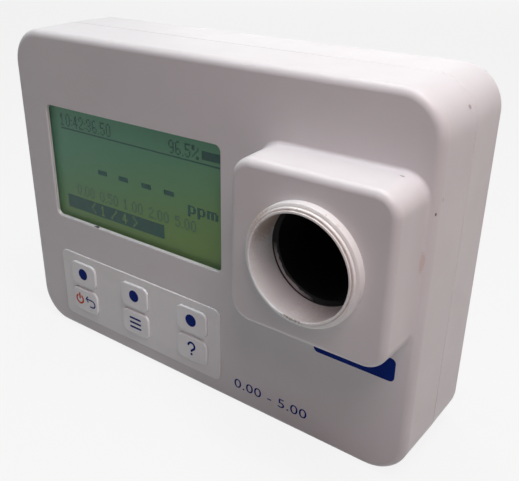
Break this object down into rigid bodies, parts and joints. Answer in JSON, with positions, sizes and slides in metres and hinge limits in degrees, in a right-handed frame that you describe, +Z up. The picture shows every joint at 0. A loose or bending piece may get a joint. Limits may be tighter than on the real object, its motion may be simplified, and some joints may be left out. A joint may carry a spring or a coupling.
{
  "type": "portable photometer",
  "caption": "Hand-held photometer: flat white casing with a display and keypad, and a raised block whose round collar and dark well take a glass cuvette; twist battery cover behind.",
  "frame": {"origin": "middle of the overall box in X and Y, on the surface that the meter stands on", "axes": "+X to the right seen from the face, +Y from the face towards the back, +Z up; the face with the display, keys and cuvette port looks along -Y"},
  "size_m": [0.1424, 0.0506, 0.1025],
  "materials": {
    "shell_white": "fine moulded texture, satin",
    "cover_white": "fine moulded texture, satin",
    "collar_cream": "smooth, slightly glossy",
    "seal_rubber": "matt black rubber",
    "seal_foam": "closed-cell foam",
    "black_plastic": "matt black, light absorbing",
    "grey_plastic": "matt grey",
    "clear_resin": "clear moulded resin",
    "optical_glass": "polished",
    "filter_glass": "coated, green tint",
    "tin_can": "plated can",
    "circuit_board": "green solder mask",
    "window_clear": "clear, glossy",
    "lcd_glass": "grey-green liquid crystal panel",
    "light_guide": "milky light guide",
    "keypad_silicone": "satin, slightly translucent",
    "key_silicone": "satin",
    "switch_black": "matt black",
    "chip_black": "moulded resin",
    "socket_ivory": "ivory nylon",
    "ribbon_amber": "amber film",
    "contact_metal": "nickel plated spring strip",
    "cell_wrap": "plain film wrap with a bare metal end",
    "screw_steel": "zinc plated"
  },
  "bodies": {
    "casing": {"front_shell": "shell_white", "rear_shell": "shell_white", "shell_gasket": "seal_rubber", "port_collar": "collar_cream", "well_gasket": "seal_rubber", "cuvette_well": "black_plastic", "lamp_housing": "black_plastic", "detector_housing": "black_plastic", "lamp": "clear_resin", "condenser_lens": "optical_glass", "retaining_ring": "black_plastic", "splitter_mount": "black_plastic", "beam_splitter": "optical_glass", "interference_filter": "filter_glass", "reference_detector": "tin_can", "reference_board": "circuit_board", "lamp_board": "circuit_board", "photodetector": "tin_can", "detector_board": "circuit_board", "display_window": "window_clear", "display_gasket": "seal_foam", "lcd_panel": "lcd_glass", "lcd_backlight": "light_guide", "display_bezel": "grey_plastic", "keypad_panel": "keypad_silicone", "key_switches": "switch_black", "main_board": "circuit_board", "board_components": "chip_black", "ribbon_sockets": "socket_ivory", "detector_ribbon": "ribbon_amber", "lamp_ribbon": "ribbon_amber", "reference_ribbon": "ribbon_amber", "battery_tray": "grey_plastic", "contacts_upper": "contact_metal", "contacts_lower": "contact_metal", "battery_cell_1": "cell_wrap", "battery_cell_2": "cell_wrap", "battery_cell_3": "cell_wrap", "well_screws": "screw_steel", "optics_screws": "screw_steel", "board_screws": "screw_steel", "tray_screws": "screw_steel", "case_screws": "screw_steel"},
    "cover": {"battery_cover": "cover_white", "cover_seal": "seal_rubber"},
    "button_upper_left": {"key_upper_left": "key_silicone", "switch_plunger_upper_left": "switch_black"},
    "button_upper_middle": {"key_upper_middle": "key_silicone", "switch_plunger_upper_middle": "switch_black"},
    "button_upper_right": {"key_upper_right": "key_silicone", "switch_plunger_upper_right": "switch_black"},
    "button_lower_left": {"key_lower_left": "key_silicone", "switch_plunger_lower_left": "switch_black"},
    "button_lower_middle": {"key_lower_middle": "key_silicone", "switch_plunger_lower_middle": "switch_black"},
    "button_lower_right": {"key_lower_right": "key_silicone", "switch_plunger_lower_right": "switch_black"}
  },
  "joints": [
    {"name": "battery_cover_turn", "type": "hinge", "parent": "casing", "child": "cover", "pos_m": [-0.02335, 0.02525, 0.05125], "axis": [0, 1, 0], "range_deg": [0, 60]},
    {"name": "press_upper_left", "type": "slide", "parent": "casing", "child": "button_upper_left", "axis": [0, 1, 0], "range_m": [0, 0.0008], "stiffness_N_per_m": 2000, "springref_m": -0.0003},
    {"name": "press_upper_middle", "type": "slide", "parent": "casing", "child": "button_upper_middle", "axis": [0, 1, 0], "range_m": [0, 0.0008], "stiffness_N_per_m": 2000, "springref_m": -0.0003},
    {"name": "press_upper_right", "type": "slide", "parent": "casing", "child": "button_upper_right", "axis": [0, 1, 0], "range_m": [0, 0.0008], "stiffness_N_per_m": 2000, "springref_m": -0.0003},
    {"name": "press_lower_left", "type": "slide", "parent": "casing", "child": "button_lower_left", "axis": [0, 1, 0], "range_m": [0, 0.0008], "stiffness_N_per_m": 2000, "springref_m": -0.0003},
    {"name": "press_lower_middle", "type": "slide", "parent": "casing", "child": "button_lower_middle", "axis": [0, 1, 0], "range_m": [0, 0.0008], "stiffness_N_per_m": 2000, "springref_m": -0.0003},
    {"name": "press_lower_right", "type": "slide", "parent": "casing", "child": "button_lower_right", "axis": [0, 1, 0], "range_m": [0, 0.0008], "stiffness_N_per_m": 2000, "springref_m": -0.0003}
  ]
}
